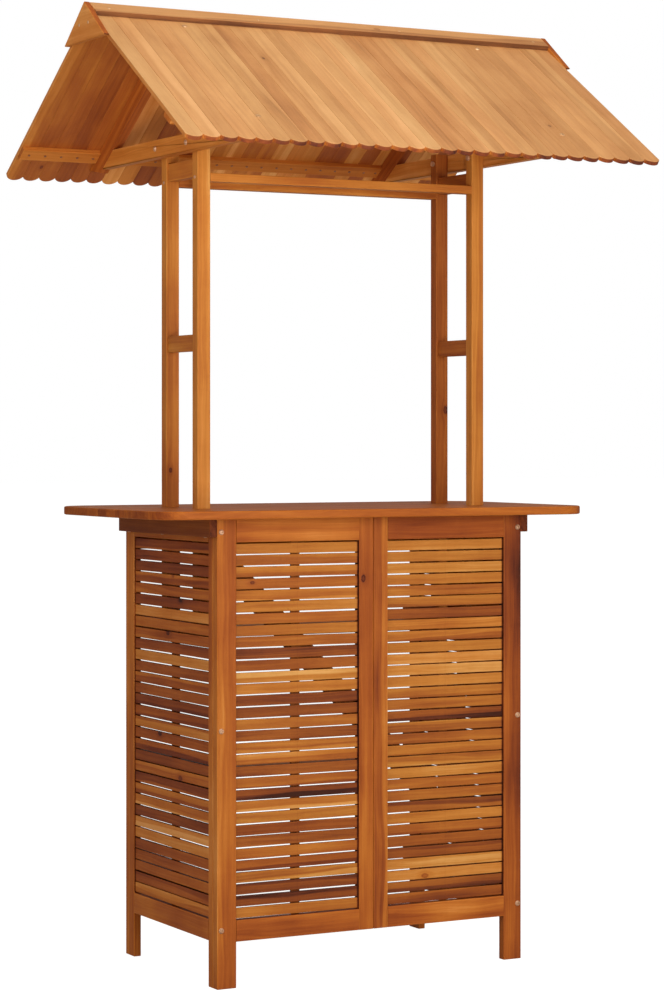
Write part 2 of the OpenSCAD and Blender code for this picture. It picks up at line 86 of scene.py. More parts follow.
# ---------------------------------------------------------------- mesh builder
class Build:
    """Collects closed prisms and their wood coordinates, then makes one mesh of them."""

    def __init__(self):
        self.v, self.f = [], []
        self.wl, self.wn, self.we = [], [], []
        self.wr, self.wt, self.wk, self.wg = [], [], [], []

    def prism(self, poly, flags, c0, c1, r, place, local, half, rng, kind, mids=0, r1=None, tone=None, streak=None):
        """poly: points (a, b) counter-clockwise; c0..c1: the span; r: rounding where the sides meet the caps.
        place(a, b, c) gives the point in the row frame; local(a, b, c) gives grain, width, thickness."""
        r1 = r if r1 is None else r1
        k = 0.293
        layers = []
        if r > 0:
            layers += [(c0, r, 0.0), (c0 + k * r, k * r, 1.0)]
        layers.append((c0 + r, 0.0, 0.0))
        for m in range(mids):
            layers.append((c0 + (c1 - c0) * (m + 1) / (mids + 1), 0.0, 0.0))
        layers.append((c1 - r1, 0.0, 0.0))
        if r1 > 0:
            layers += [(c1 - k * r1, k * r1, 1.0), (c1, r1, 0.0)]
        n, base = len(poly), len(self.v)
        for c, d, e in layers:
            ring = inset(poly, d) if d else poly
            for (a, b), g in zip(ring, flags):
                self.v.append(place(a, b, c))
                l = local(a, b, c)
                self.wl.append(l)
                self.wn.append((l[0] / half[0], l[1] / half[1], l[2] / half[2]))
                self.we.append(max(e, g))
        faces = []
        for j in range(len(layers) - 1):
            p, q = base + j * n, base + (j + 1) * n
            for i in range(n):
                i2 = (i + 1) % n
                faces.append((p + i, p + i2, q + i2, q + i))
        faces.append(tuple(base + i for i in reversed(range(n))))
        faces.append(tuple(base + (len(layers) - 1) * n + i for i in range(n)))
        a, b, c = self.v[base], self.v[base + 1], self.v[base + n]
        self.f += faces
        values, knot = look(rng, kind, half[0], half[1], tone, streak)
        self.wr += [rvec(rng)] * len(faces)
        self.wt += [values] * len(faces)
        self.wk += [knot] * len(faces)
        self.wg += [self.grain(place, local)] * len(faces)

    @staticmethod
    def grain(place, local):
        """The fibre direction in the row frame, from the two maps of a piece."""
        o, l0 = place(0, 0, 0), local(0, 0, 0)
        d = Vector((0, 0, 0))
        for step in ((1e-3, 0, 0), (0, 1e-3, 0), (0, 0, 1e-3)):
            d += (place(*step) - o) * (local(*step)[0] - l0[0])
        return d.normalized()

    def make(self, name, material, node_names, slot):
        me = bpy.data.meshes.new(name)
        me.from_pydata(self.v, [], self.f)
        for key, kind, domain, data in (
            ("wl", "FLOAT_VECTOR", "POINT", self.wl), ("wn", "FLOAT_VECTOR", "POINT", self.wn),
            ("wr", "FLOAT_VECTOR", "FACE", self.wr), ("wt", "FLOAT_VECTOR", "FACE", self.wt),
            ("wk", "FLOAT_VECTOR", "FACE", self.wk)):
            at = me.attributes.new(key, kind, domain)
            at.data.foreach_set("vector", [x for t in data for x in t])
        at = me.attributes.new("we", "FLOAT", "POINT")
        at.data.foreach_set("value", self.we)
        me.validate()
        fix_normals(me)
        # how squarely each face cuts the fibres: 1 on end grain, 0 along them
        at = me.attributes.new("wx", "FLOAT", "FACE")
        at.data.foreach_set("value", [abs(p.normal.dot(g)) for p, g in zip(me.polygons, self.wg)])
        # painted shade for faces in the corners between slats and frame and on the slats' upper and lower faces
        at = me.attributes.new("wshade", "FLOAT", "FACE")
        at.data.foreach_set("value", [corner_painted_shade(p.center, p.normal, slot) for p in me.polygons])
        me.materials.append(material)
        ob = bpy.data.objects.new(name, me)
        bpy.context.scene.collection.objects.link(ob)
        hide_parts(*node_names)
        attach(ob, "root")
        return ob


def corner_painted_shade(c, n, slot):
    """How much painted shade a face gets: in the narrow corners between slats and frame, and on the slats' upper and
    lower faces in the gaps.
    """
    if slot == "slat_wood":
        return 0.75 if abs(n.z) > 0.9 else 0.0
    if slot != "frame_wood":
        return 0.0
    if abs(n.x) > 0.9 and c.y < FY + 0.002 and min(abs(abs(c.x) - OPEN_X[0]), abs(abs(c.x) - OPEN_X[1])) < 0.001:
        return 1.0
    if abs(n.y) > 0.9 and min(abs(c.y - OPEN_Y[0]), abs(c.y - OPEN_Y[1])) < 0.001:
        return 1.0
    if abs(n.z) > 0.9 and min(abs(c.z - OPEN_Z[0]), abs(c.z - OPEN_Z[1])) < 0.001:
        return 1.0
    return 0.0


def fix_normals(me):
    import bmesh
    bm = bmesh.new()
    bm.from_mesh(me)
    bmesh.ops.recalc_face_normals(bm, faces=bm.faces)
    bm.to_mesh(me)
    bm.free()


def inset(poly, d):
    """Moves every edge of a counter-clockwise polygon inwards by d."""
    n, out = len(poly), []
    for i in range(n):
        ax, ay = poly[i - 1]
        bx, by = poly[i]
        cx, cy = poly[(i + 1) % n]
        ux, uy = bx - ax, by - ay
        vx, vy = cx - bx, cy - by
        lu, lv = math.hypot(ux, uy), math.hypot(vx, vy)
        n1 = (-uy / lu, ux / lu)
        n2 = (-vy / lv, vx / lv)
        sx, sy = n1[0] + n2[0], n1[1] + n2[1]
        q = sx * n1[0] + sy * n1[1]
        out.append((bx + sx * d / q, by + sy * d / q))
    return out


def rounded(poly, r, seg=3):
    """Rounds each corner of a convex counter-clockwise polygon. Returns points and an edge flag for each."""
    n, pts, flags = len(poly), [], []
    for i in range(n):
        a, b, c = Vector(poly[i - 1]), Vector(poly[i]), Vector(poly[(i + 1) % n])
        u, v = (a - b).normalized(), (c - b).normalized()
        ang = u.angle(v)
        t = r / math.tan(ang / 2)
        p, q = b + u * t, b + v * t
        centre = b + (u + v).normalized() * (r / math.sin(ang / 2))
        s, e = p - centre, q - centre
        sweep = math.atan2(s.x * e.y - s.y * e.x, s.dot(e))
        for k in range(seg + 1):
            th = sweep * k / seg
            pts.append((centre.x + s.x * math.cos(th) - s.y * math.sin(th), centre.y + s.x * math.sin(th) + s.y * math.cos(th)))
            flags.append(1.0 if 0 < k < seg else 0.0)
    return pts, flags


def rect(a0, a1, b0, b1):
    return [(a0, b0), (a1, b0), (a1, b1), (a0, b1)]


# Frames: the row frame, and one for each slope (X, down the slope, out of the slope).
AXES = {
    "flat": (Vector((1, 0, 0)), Vector((0, 1, 0)), Vector((0, 0, 1))),
    "back": (Vector((1, 0, 0)), Vector((0, CA, -SA)), Vector((0, SA, CA))),
    "front": (Vector((1, 0, 0)), Vector((0, -CA, -SA)), Vector((0, -SA, CA))),
}


def solids(node):
    """The separate solids of a CAD node, as lists of points."""
    me = NODES[node].data
    key, ids = {}, []
    for v in me.vertices:
        k = (round(v.co.x, 5), round(v.co.y, 5), round(v.co.z, 5))
        ids.append(key.setdefault(k, len(key)))
    parent = list(range(len(key)))

    def find(i):
        while parent[i] != i:
            parent[i] = parent[parent[i]]
            i = parent[i]
        return i
    for p in me.polygons:
        r = find(ids[p.vertices[0]])
        for v in p.vertices[1:]:
            parent[find(ids[v])] = r
    groups = {}
    for k, i in key.items():
        groups.setdefault(find(i), []).append(Vector(k))
    return sorted(groups.values(), key=lambda g: (round(sum(p.z for p in g) / len(g), 3), round(sum(p.x for p in g) / len(g), 3), sum(p.y for p in g) / len(g)))


def span(points, axes):
    lo = [min(p.dot(a) for p in points) for a in axes]
    hi = [max(p.dot(a) for p in points) for a in axes]
    return lo, hi


def rvec(rng):
    return (rng.random(), rng.random(), rng.random())


def stick(B, axes, lo, hi, rng, kind, r=0.0018, end_r=0.0012, jit=0.0, grain=None, seg=3, tone=None, streak=None, side=None):
    """A rounded stick between two corners given along axes, its grain along the longest side."""
    size = [hi[i] - lo[i] for i in range(3)]
    g = max(range(3), key=lambda i: size[i]) if grain is None else grain
    rest = sorted((i for i in range(3) if i != g), key=lambda i: -size[i])
    w, t = rest
    mid = [(lo[i] + hi[i]) / 2 for i in range(3)]
    hw, ht, hl = size[w] / 2, size[t] / 2, size[g] / 2
    # keep a right-handed order so that faces point outwards
    poly, flags = rounded(rect(-hw, hw, -ht, ht), min(r, ht * 0.45), seg)
    centre = axes[0] * mid[0] + axes[1] * mid[1] + axes[2] * mid[2]
    sw, st = rng.choice((-1, 1)), rng.choice((-1, 1))
    sw = side or sw
    j = [rng.uniform(-jit, jit) for _ in range(5)]

    def place(a, b, c):
        u = c / hl
        return centre + axes[g] * c + axes[w] * (a + j[0] + j[1] * u + j[2] * (0.5 - u * u)) + axes[t] * (b + (j[3] * u + j[4] * (0.5 - u * u)) * 0.6)

    B.prism(poly, flags, -hl, hl, end_r, place, lambda a, b, c: (c, a * sw, b * st), (hl, hw, ht), rng, kind,
            mids=4 if jit else 0, tone=tone, streak=streak)


def pick(rng, groups):
    x, t = rng.random(), 0
    for p, lo, hi in groups:
        t += p
        if x <= t:
            return rng.uniform(lo, hi)
    return rng.uniform(groups[-1][1], groups[-1][2])


# Kind of piece: tones from 0, pale, to 1, dark, as (share, lowest, highest); share with a pale or dark
# streak along one edge; share with a knot.
KINDS = {
    "slat": ([(0.34, 0.20, 0.30), (0.36, 0.34, 0.46), (0.30, 0.52, 0.64)], 0.45, 0.10),
    "side_slat": ([(0.25, 0.30, 0.38), (0.43, 0.42, 0.54), (0.32, 0.56, 0.68)], 0.40, 0.10),
    "leg": ([(1.0, 0.46, 0.54)], 0.0, 0.3),
    "rail": ([(1.0, 0.40, 0.50)], 0.2, 0.1),
    "post": ([(1.0, 0.24, 0.34)], 0.2, 0.5),
    "roof_top": ([(0.60, 0.24, 0.31), (0.40, 0.31, 0.38)], 0.45, 0.08),
    "roof_under": ([(0.30, 0.14, 0.22), (0.45, 0.26, 0.38), (0.25, 0.46, 0.58)], 0.2, 0.12),
    "ridge": ([(1.0, 0.30, 0.36)], 0.0, 0.6),
    "plate": ([(1.0, 0.20, 0.24)], 0.0, 0.0),
    "truss": ([(1.0, 0.14, 0.24)], 0.0, 0.2),
    "batten": ([(1.0, 0.20, 0.32)], 0.1, 0.2),
    "inner": ([(1.0, 0.52, 0.72)], 0.3, 0.1),
    "cleat": ([(1.0, 0.62, 0.68)], 0.0, 0.0),
    "brace": ([(1.0, 0.66, 0.74)], 0.0, 0.2),
    "shelf": ([(1.0, 0.40, 0.62)], 0.3, 0.2),
    "counter": ([(0.6, 0.30, 0.40), (0.4, 0.40, 0.48)], 0.2, 0.2),
}


# Seeds and ranges of the tones of the pieces that show most
TONE_SEEDS = {
    "front_left_slats": (1, 0.30, 0.78),
    "front_right_slats": (2, 0.21, 0.65),
    "left_side_slats": (3, 0.14, 0.76),
    "front_roof_boards": (4, 0.27, 0.48),
    "back_roof_boards": (5, 0.12, 0.64),
}
# Tones of single pieces, from left to right and bottom to top: tone, edge streak, side of the streak
TONES = {
    "front_left_leg": [(0.53, 0.35, -1)],
    "front_right_leg": [(0.60, -0.6, 1)],
    "left_centre_stile": [(0.52, 0.0, 1)],
    "right_centre_stile": [(0.66, 1.0, 1)],
    "front_top_rails": [(0.39, 0.0, 1), (0.58, 0.0, 1)],
    "front_bottom_rails": [(0.60, 0.0, 1), (0.49, 0.5, 1)],
    "front_left_post": [(0.35, 0.3, 1)],
    "front_right_post": [(0.35, 0.3, -1)],
    "back_left_post": [(0.40, 0.0, 1)],
    "back_right_post": [(0.56, 0.0, 1)],
    "front_header_rail": [(0.38, 0.4, 1)],
    "back_header_rail": [(0.42, 0.0, 1)],
    "left_ladder_rails": [(0.44, 0.0, 1)],
    "right_ladder_rails": [(0.62, 0.0, 1)],
}


def look(rng, kind, half_l, half_w, tone=None, streak=None):
    """Tone, warmth and edge streak of a piece, and its knot: place along and across it, and radius."""
    groups, streaks, knots = KINDS[kind]
    s = rng.choice((-1, 1, 1)) * rng.uniform(0.4, 1.0) if rng.random() < streaks else 0.0
    t = pick(rng, groups)
    values = (t if tone is None else tone, rng.uniform(0.0, 1.0), s if streak is None else streak)
    knot = (rng.uniform(-0.85, 0.85) * half_l, rng.uniform(-0.7, 0.7) * half_w, rng.uniform(0.0022, 0.0058))
    return values, knot if rng.random() < knots else (0.0, 0.0, 0.0)


# ---------------------------------------------------------------- materials
class Nodes:
    def __init__(self, mat):
        mat.use_nodes = True
        self.t = mat.node_tree
        self.t.nodes.clear()

    def new(self, kind, **sets):
        n = self.t.nodes.new(kind)
        for k, v in sets.items():
            setattr(n, k, v)
        return n

    def link(self, a, b):
        self.t.links.new(a, b)

    def put(self, socket, value):
        if isinstance(value, bpy.types.NodeSocket):
            self.link(value, socket)
        else:
            socket.default_value = value

    def math(self, op, a, b=0.0, c=0.0, clamp=False):
        n = self.new("ShaderNodeMath", operation=op, use_clamp=clamp)
        for s, v in zip(n.inputs, (a, b, c)):
            self.put(s, v)
        return n.outputs[0]

    def vmath(self, op, a, b=(0, 0, 0), c=None):
        n = self.new("ShaderNodeVectorMath", operation=op)
        self.put(n.inputs[0], a)
        if op == "SCALE":
            self.put(n.inputs[3], b)
        else:
            self.put(n.inputs[1], b)
        if c is not None:
            self.put(n.inputs[2], c)
        return n.outputs["Value"] if op in ("LENGTH", "DOT_PRODUCT") else n.outputs["Vector"]

    def attr(self, name):
        n = self.new("ShaderNodeAttribute", attribute_type="GEOMETRY", attribute_name=name)
        return n

    def xyz(self, v):
        n = self.new("ShaderNodeSeparateXYZ")
        self.link(v, n.inputs[0])
        return n.outputs

    def vec(self, x, y, z):
        n = self.new("ShaderNodeCombineXYZ")
        for s, v in zip(n.inputs, (x, y, z)):
            self.put(s, v)
        return n.outputs[0]

    def noise(self, vector, scale=1.0, detail=2.0, rough=0.5, dims="3D", distort=0.0, w=None):
        n = self.new("ShaderNodeTexNoise", noise_dimensions=dims)
        if dims != "1D":
            self.link(vector, n.inputs["Vector"])
        if w is not None:
            self.put(n.inputs["W"], w)
        n.inputs["Scale"].default_value = scale
        n.inputs["Detail"].default_value = detail
        n.inputs["Roughness"].default_value = rough
        n.inputs["Distortion"].default_value = distort
        return n.outputs[0]

    def ramp(self, fac, stops):
        n = self.new("ShaderNodeValToRGB")
        self.link(fac, n.inputs[0])
        cr = n.color_ramp
        while len(cr.elements) > 1:
            cr.elements.remove(cr.elements[-1])
        cr.elements[0].position = stops[0][0]
        cr.elements[0].color = stops[0][1]
        for p, c in stops[1:]:
            e = cr.elements.new(p)
            e.color = c
        return n.outputs[0]

    def range(self, v, a0, a1, b0, b1, smooth=False):
        n = self.new("ShaderNodeMapRange", interpolation_type="SMOOTHSTEP" if smooth else "LINEAR", clamp=True)
        for s, x in zip(n.inputs, (v, a0, a1, b0, b1)):
            self.put(s, x)
        return n.outputs[0]

    def mix(self, fac, a, b, blend="MIX"):
        n = self.new("ShaderNodeMix", data_type="RGBA", blend_type=blend)
        self.put(n.inputs[0], fac)
        self.put(n.inputs[6], a)
        self.put(n.inputs[7], b)
        return n.outputs[2]


WOOD_STOPS = [
    (0.00, srgb(230, 172, 98)),
    (0.12, srgb(216, 153, 78)),
    (0.24, srgb(203, 132, 56)),
    (0.36, srgb(189, 117, 45)),
    (0.48, srgb(174, 100, 39)),
    (0.60, srgb(158, 86, 34)),
    (0.70, srgb(142, 74, 31)),
    (0.80, srgb(126, 63, 30)),
    (0.90, srgb(104, 50, 27)),
    (1.00, srgb(68, 33, 20)),
]
# The upper face of the roof boards, and the ridge: paler and less saturated, a painted sheen of the light from above
SHEEN_TOP_STOPS = [
    (0.00, srgb(232, 180, 120)),
    (0.25, srgb(216, 160, 100)),
    (0.50, srgb(196, 137, 80)),
    (0.75, srgb(160, 104, 58)),
    (1.00, srgb(90, 54, 32)),
]


def wood(name, shift=0.0, contrast=1.0, rough=0.50, spec=0.10, coat=0.0, drift=0.20, ring=0.30, stops=WOOD_STOPS, sheen_top=None, worn_highlight_k=0.08, painted_end_shade=False, red=0.0, end_k=0.22, mottle=0.0, lower=0.0):
    """Oiled hardwood. The figure comes from each piece's own grain coordinates and values:
    wl place, wn place over half size, wr random, wt tone, wk knot, we rounded edge, wx end grain."""
    mat = bpy.data.materials.new(name)
    N = Nodes(mat)
    wl = N.attr("wl").outputs["Vector"]
    wn = N.xyz(N.attr("wn").outputs["Vector"])
    wr = N.attr("wr").outputs["Vector"]
    wt = N.xyz(N.attr("wt").outputs["Vector"])
    wk = N.xyz(N.attr("wk").outputs["Vector"])
    we = N.attr("we").outputs["Fac"]
    wx = N.attr("wx").outputs["Fac"]
    r = N.xyz(wr)
    p = N.vmath("ADD", wl, N.vmath("MULTIPLY", wr, (17.3, 9.1, 5.7)))
    c = N.xyz(wl)

    # the knot: a dark eye with a darker rim, and fibres that flow round it
    there = N.math("GREATER_THAN", wk[2], 0.0001)
    kr = N.math("MAXIMUM", wk[2], 0.001)
    ragged = N.noise(p, scale=420.0, detail=1.0)
    du = N.math("MULTIPLY", N.math("SUBTRACT", c[0], wk[0]), 0.62)
    dv = N.math("SUBTRACT", c[1], wk[1])
    dn = N.math("DIVIDE", N.vmath("LENGTH", N.vec(du, dv, 0.0)), kr)
    dn = N.math("ADD", dn, N.math("MULTIPLY", N.math("SUBTRACT", ragged, 0.5), 0.7))
    knot = N.math("MULTIPLY", N.range(dn, 0.75, 1.1, 1.0, 0.0, True), there)
    rim = N.math("MULTIPLY", N.math("MULTIPLY", N.range(dn, 0.6, 0.95, 0.0, 1.0, True), N.range(dn, 0.95, 1.5, 1.0, 0.0, True)), there)
    halo = N.math("MULTIPLY", N.range(dn, 0.9, 4.2, 1.0, 0.0, True), there)
    push = N.math("MULTIPLY", N.math("MULTIPLY", halo, kr), N.range(N.math("DIVIDE", dv, kr), -1.2, 1.2, -1.3, 1.3))

    # slow wander of the fibres along the piece
    slow = N.noise(N.vmath("MULTIPLY", p, (2.1, 6.0, 6.0)), detail=2.0)
    wander = N.math("MULTIPLY", N.math("SUBTRACT", slow, 0.5), 0.055)
    quick = N.noise(N.vmath("MULTIPLY", p, (9.0, 30.0, 30.0)), detail=1.0)
    wander2 = N.math("MULTIPLY", N.math("SUBTRACT", quick, 0.5), 0.007)
    shiftw = N.math("SUBTRACT", wander2, push)
    wy = N.math("ADD", N.math("ADD", c[1], wander), shiftw)
    # year rings round a pith that lies beside the piece
    pith_w = N.math("MULTIPLY", N.math("SUBTRACT", r[0], 0.5), 0.16)
    pith_t = N.math("MULTIPLY_ADD", r[1], 0.09, 0.025)
    ring_r = N.vmath("LENGTH", N.vec(0.0, N.math("ADD", wy, pith_w), N.math("ADD", c[2], pith_t)))
    rings = N.noise(None, scale=150.0, detail=2.0, rough=0.55, dims="1D", w=N.math("ADD", ring_r, N.math("MULTIPLY", r[2], 3.0)))
    ring_fine = N.noise(None, scale=520.0, detail=1.0, dims="1D", w=N.math("ADD", ring_r, N.math("MULTIPLY", r[2], 5.0)))

    pp = N.xyz(p)
    q = N.vec(pp[0], N.math("ADD", pp[1], shiftw), pp[2])
    length = N.noise(N.vmath("MULTIPLY", p, (3.4, 9.0, 9.0)), detail=2.0, rough=0.5)
    band = N.noise(N.vmath("MULTIPLY", q, (1.6, 42.0, 34.0)), detail=3.0, rough=0.6)
    streak = N.noise(N.vmath("MULTIPLY", q, (3.6, 160.0, 150.0)), detail=3.0, rough=0.6)
    fibre = N.noise(N.vmath("MULTIPLY", q, (14.0, 900.0, 900.0)), detail=2.0, rough=0.6)
    pores = N.noise(N.vmath("MULTIPLY", q, (70.0, 1700.0, 1700.0)), detail=1.0)
    pore = N.range(pores, 0.60, 0.70, 0.0, 1.0, True)
    blotch = N.noise(N.vmath("MULTIPLY", p, (9.0, 26.0, 26.0)), detail=2.0)
    curl = N.noise(N.vmath("MULTIPLY", p, (60.0, 16.0, 16.0)), detail=1.0)

    def about(v, k):
        return N.math("MULTIPLY", N.math("SUBTRACT", v, 0.5), k * contrast)

    f = N.math("ADD", wt[0], shift)
    for v, k in ((length, drift * 2.2), (rings, ring), (ring_fine, 0.12), (band, 0.42), (streak, 0.30), (fibre, 0.16), (blotch, 0.16), (curl, 0.05)):
        f = N.math("ADD", f, about(v, k))
    # a streak of sapwood or dark heartwood along one edge
    edge = N.math("ADD", wn[1], N.math("MULTIPLY", N.math("SUBTRACT", slow, 0.5), 3.0))
    streak_m = N.range(edge, 0.10, 0.38, 0.0, 1.0, True)
    f = N.math("SUBTRACT", f, N.math("MULTIPLY", N.math("MULTIPLY", streak_m, wt[2]), 0.30))
    f = N.math("ADD", f, N.math("MULTIPLY", halo, 0.10))
    f = N.math("ADD", f, N.math("MULTIPLY", knot, 0.24))
    f = N.math("ADD", f, N.math("MULTIPLY", rim, 0.22))
    f = N.math("ADD", f, N.math("MULTIPLY", pore, 0.06))
    # end grain drinks more oil
    ends = N.range(wx, 0.45, 0.85, 0.0, 1.0, True)
    f = N.math("ADD", f, N.math("MULTIPLY", ends, end_k))
    if mottle:
        # weather marks that run across neighbouring boards
        place = N.new("ShaderNodeTexCoord").outputs["Object"]
        marks = N.noise(N.vmath("MULTIPLY", place, (13.0, 4.2, 4.2)), detail=4.0, rough=0.62, distort=0.4)
        f = N.math("ADD", f, N.math("MULTIPLY", N.math("SUBTRACT", marks, 0.5), mottle))
    if lower:
        # the lower edge face is darkened: painted shade under the board's edge
        f = N.math("ADD", f, N.math("MULTIPLY", N.range(wn[1], 0.79, 0.83, 0.0, 1.0), lower))
    # rounded edges are a little paler: partly rubbed wear, partly a painted highlight along the edge
    worn_highlight = N.math("MULTIPLY", we, N.range(blotch, 0.35, 0.65, 0.2, 1.0))
    f = N.math("SUBTRACT", f, N.math("MULTIPLY", worn_highlight, worn_highlight_k))
    # painted shade in the corners between slats and frame and in the gaps between the slats
    height = N.xyz(N.new("ShaderNodeTexCoord").outputs["Object"])[2]
    inside = N.math("MULTIPLY", N.range(height, 0.144, 0.150, 0.0, 1.0), N.range(height, 0.973, 0.979, 1.0, 0.0))
    painted_shade = N.math("MULTIPLY", N.attr("wshade").outputs["Fac"], inside)
    # painted shadow of the frame on each slat, the few millimetres beside the stile
    if painted_end_shade:
        al = N.math("ABSOLUTE", c[0])
        to_end = N.math("MULTIPLY", al, N.math("SUBTRACT", N.math("DIVIDE", 1.0, N.math("MAXIMUM", N.math("ABSOLUTE", wn[0]), 0.01)), 1.0))
        painted_shade = N.math("MAXIMUM", painted_shade, N.range(to_end, 0.0118, 0.0088, 0.0, 1.0, True))
    f = N.math("ADD", f, N.math("MULTIPLY", painted_shade, 0.42), clamp=True)
    col = N.ramp(f, stops)
    if sheen_top:
        # upward faces take the pale ramp and no extra warmth: painted sheen of the light from above
        up = N.range(wn[2], 0.55, 0.95, 0.0, 1.0)
        col = N.mix(up, col, N.ramp(f, sheen_top))
        red = N.math("MULTIPLY", N.math("SUBTRACT", 1.0, up), red)
    warm = N.mix(N.math("MULTIPLY_ADD", wt[1], 0.40, red), col, (1.06, 0.86, 0.78, 1), "MULTIPLY")
    bsdf = N.new("ShaderNodeBsdfPrincipled")
    N.link(warm, bsdf.inputs["Base Color"])
    rg = N.math("ADD", rough, N.math("ADD", N.math("MULTIPLY", N.math("SUBTRACT", streak, 0.5), 0.16), N.math("MULTIPLY", N.math("SUBTRACT", blotch, 0.5), 0.18)))
    rg = N.math("ADD", rg, N.math("MULTIPLY", ends, 0.18))
    N.link(rg, bsdf.inputs["Roughness"])
    bsdf.inputs["Specular IOR Level"].default_value = spec
    bsdf.inputs["Coat Weight"].default_value = coat
    bsdf.inputs["Coat Roughness"].default_value = 0.28
    h = N.math("ADD", N.math("MULTIPLY", fibre, 0.45), N.math("MULTIPLY", streak, 0.35))
    h = N.math("SUBTRACT", h, N.math("MULTIPLY", pore, 0.35))
    h = N.math("ADD", h, N.math("MULTIPLY", rings, 0.25))
    h = N.math("SUBTRACT", h, N.math("MULTIPLY", rim, 0.5))
    bump = N.new("ShaderNodeBump")
    bump.inputs["Strength"].default_value = 0.45
    bump.inputs["Distance"].default_value = 0.0006
    N.link(h, bump.inputs["Height"])
    N.link(bump.outputs[0], bsdf.inputs["Normal"])
    out = N.new("ShaderNodeOutputMaterial")
    N.link(bsdf.outputs[0], out.inputs[0])
    return mat


def steel(name, tones, metal):
    """Zinc-plated steel: mottled grey with fine turning marks and a little dirt."""
    mat = bpy.data.materials.new(name)
    N = Nodes(mat)
    tc = N.new("ShaderNodeTexCoord")
    obj = tc.outputs["Object"]
    big = N.noise(obj, scale=160.0, detail=2.0)
    small = N.noise(obj, scale=1400.0, detail=2.0)
    col = N.ramp(N.math("ADD", N.math("MULTIPLY", big, 0.6), N.math("MULTIPLY", small, 0.4)),
                 [(0.25, srgb(*tones[0])), (0.5, srgb(*tones[1])), (0.75, srgb(*tones[2]))])
    bsdf = N.new("ShaderNodeBsdfPrincipled")
    N.link(col, bsdf.inputs["Base Color"])
    bsdf.inputs["Metallic"].default_value = metal
    N.link(N.range(small, 0.3, 0.7, 0.28, 0.46), bsdf.inputs["Roughness"])
    bump = N.new("ShaderNodeBump")
    bump.inputs["Strength"].default_value = 0.2
    bump.inputs["Distance"].default_value = 0.0002
    N.link(small, bump.inputs["Height"])
    N.link(bump.outputs[0], bsdf.inputs["Normal"])
    out = N.new("ShaderNodeOutputMaterial")
    N.link(bsdf.outputs[0], out.inputs[0])
    return mat


MATS = {
    "frame_wood": wood("frame_wood", contrast=0.94, drift=0.42, worn_highlight_k=0.22, red=0.78),
    "slat_wood": wood("slat_wood", contrast=0.88, drift=0.27, painted_end_shade=True, red=0.10),
    "side_slat_wood": wood("side_slat_wood", shift=0.06, contrast=0.85, drift=0.26, painted_end_shade=True, red=0.75),
    "counter_wood": wood("counter_wood", shift=0.03, contrast=0.75, rough=0.44, spec=0.08, red=0.60),
    # the roof boards' end faces are darkened twice as much as other end grain: partly end grain, partly painted shade
    # under the eaves
    "roof_board_wood": wood("roof_board_wood", contrast=0.60, rough=0.50, spec=0.24, drift=0.16, sheen_top=SHEEN_TOP_STOPS, worn_highlight_k=0.15, end_k=0.44, mottle=0.55, red=0.45),
    "ridge_wood": wood("ridge_wood", contrast=0.60, spec=0.20, stops=SHEEN_TOP_STOPS, worn_highlight_k=0.14, lower=0.33),
    "post_wood": wood("post_wood", contrast=0.80, drift=0.34, worn_highlight_k=0.16, red=0.15),
    "truss_wood": wood("truss_wood", contrast=0.84, drift=0.28, red=0.70),
    "plate_wood": wood("plate_wood", contrast=0.70, red=0.65, end_k=1.0),
    "inner_wood": wood("inner_wood", contrast=0.80, rough=0.55),
}
STEEL = steel("zinc_steel", ((140, 96, 66), (204, 154, 116), (236, 196, 158)), 0.35)
# the roof's fasteners have a yellow finish, the small batten screws a brown one
ROOF_STEEL = steel("yellow_zinc_steel", ((170, 118, 74), (216, 168, 118), (244, 208, 162)), 0.45)
SCREW_STEEL = steel("brown_steel", ((104, 58, 32), (146, 88, 50), (186, 126, 82)), 0.12)

# ---------------------------------------------------------------- pieces
F = AXES["flat"]


def sticks(node, kind, slot, trim=0.0, trim_axis=None, axes=F, r=0.0018, end_r=0.0012, jit=0.0, seed=0, look_of=None):
    rng = random.Random(f"{node}{seed}")
    seeded = TONE_SEEDS.get(node)
    tone_rng = random.Random(seeded[0] if seeded else 0)
    B = Build()
    for i, pts in enumerate(solids(node)):
        lo, hi = span(pts, axes)
        if trim:
            lo[trim_axis] += trim
            hi[trim_axis] -= trim
        tone = streak = face = None
        if seeded:
            tone = seeded[1] + (seeded[2] - seeded[1]) * tone_rng.random()
        elif node in TONES:
            tone, streak, face = TONES[node][i % len(TONES[node])]
        stick(B, axes, lo, hi, rng, kind, r, end_r, jit, tone=tone, streak=streak, side=face)
    return B.make(node + "_wood", MATS[look_of or slot], [node], slot)


for n in ("front_left_leg", "front_right_leg"):
    sticks(n, "leg", "frame_wood", r=0.0025)
for n in ("left_centre_stile", "right_centre_stile"):
    sticks(n, "leg", "frame_wood", r=0.0022)
for n in ("front_top_rails", "front_bottom_rails"):
    sticks(n, "rail", "frame_wood", TONGUE, 0, r=0.0018, end_r=0.0004)
for n in ("front_left_slats", "front_right_slats"):
    sticks(n, "slat", "slat_wood", r=0.0016, jit=0.0004)
sticks("front_slat_battens", "inner", "inner_wood")
for n in ("left_side_stile", "right_side_stile", "back_left_leg", "back_right_leg"):
    sticks(n, "rail", "frame_wood", r=0.0022)
for n in ("left_side_rails", "right_side_rails"):
    sticks(n, "rail", "frame_wood", TONGUE, 1, r=0.0018, end_r=0.0004)
for n in ("left_side_slats", "right_side_slats"):
    sticks(n, "side_slat", "slat_wood", r=0.0016, jit=0.0004, look_of="side_slat_wood")
for n in ("left_slat_batten", "right_slat_batten"):
    sticks(n, "inner", "inner_wood")
for n in ("left_counter_cleat", "right_counter_cleat"):
    sticks(n, "cleat", "inner_wood")
sticks("back_top_rail", "rail", "inner_wood")
for n in ("left_shelf_rails", "right_shelf_rails"):
    sticks(n, "shelf", "inner_wood")
for n in ("upper_shelf_boards", "lower_shelf_boards"):
    sticks(n, "shelf", "inner_wood", jit=0.0003)
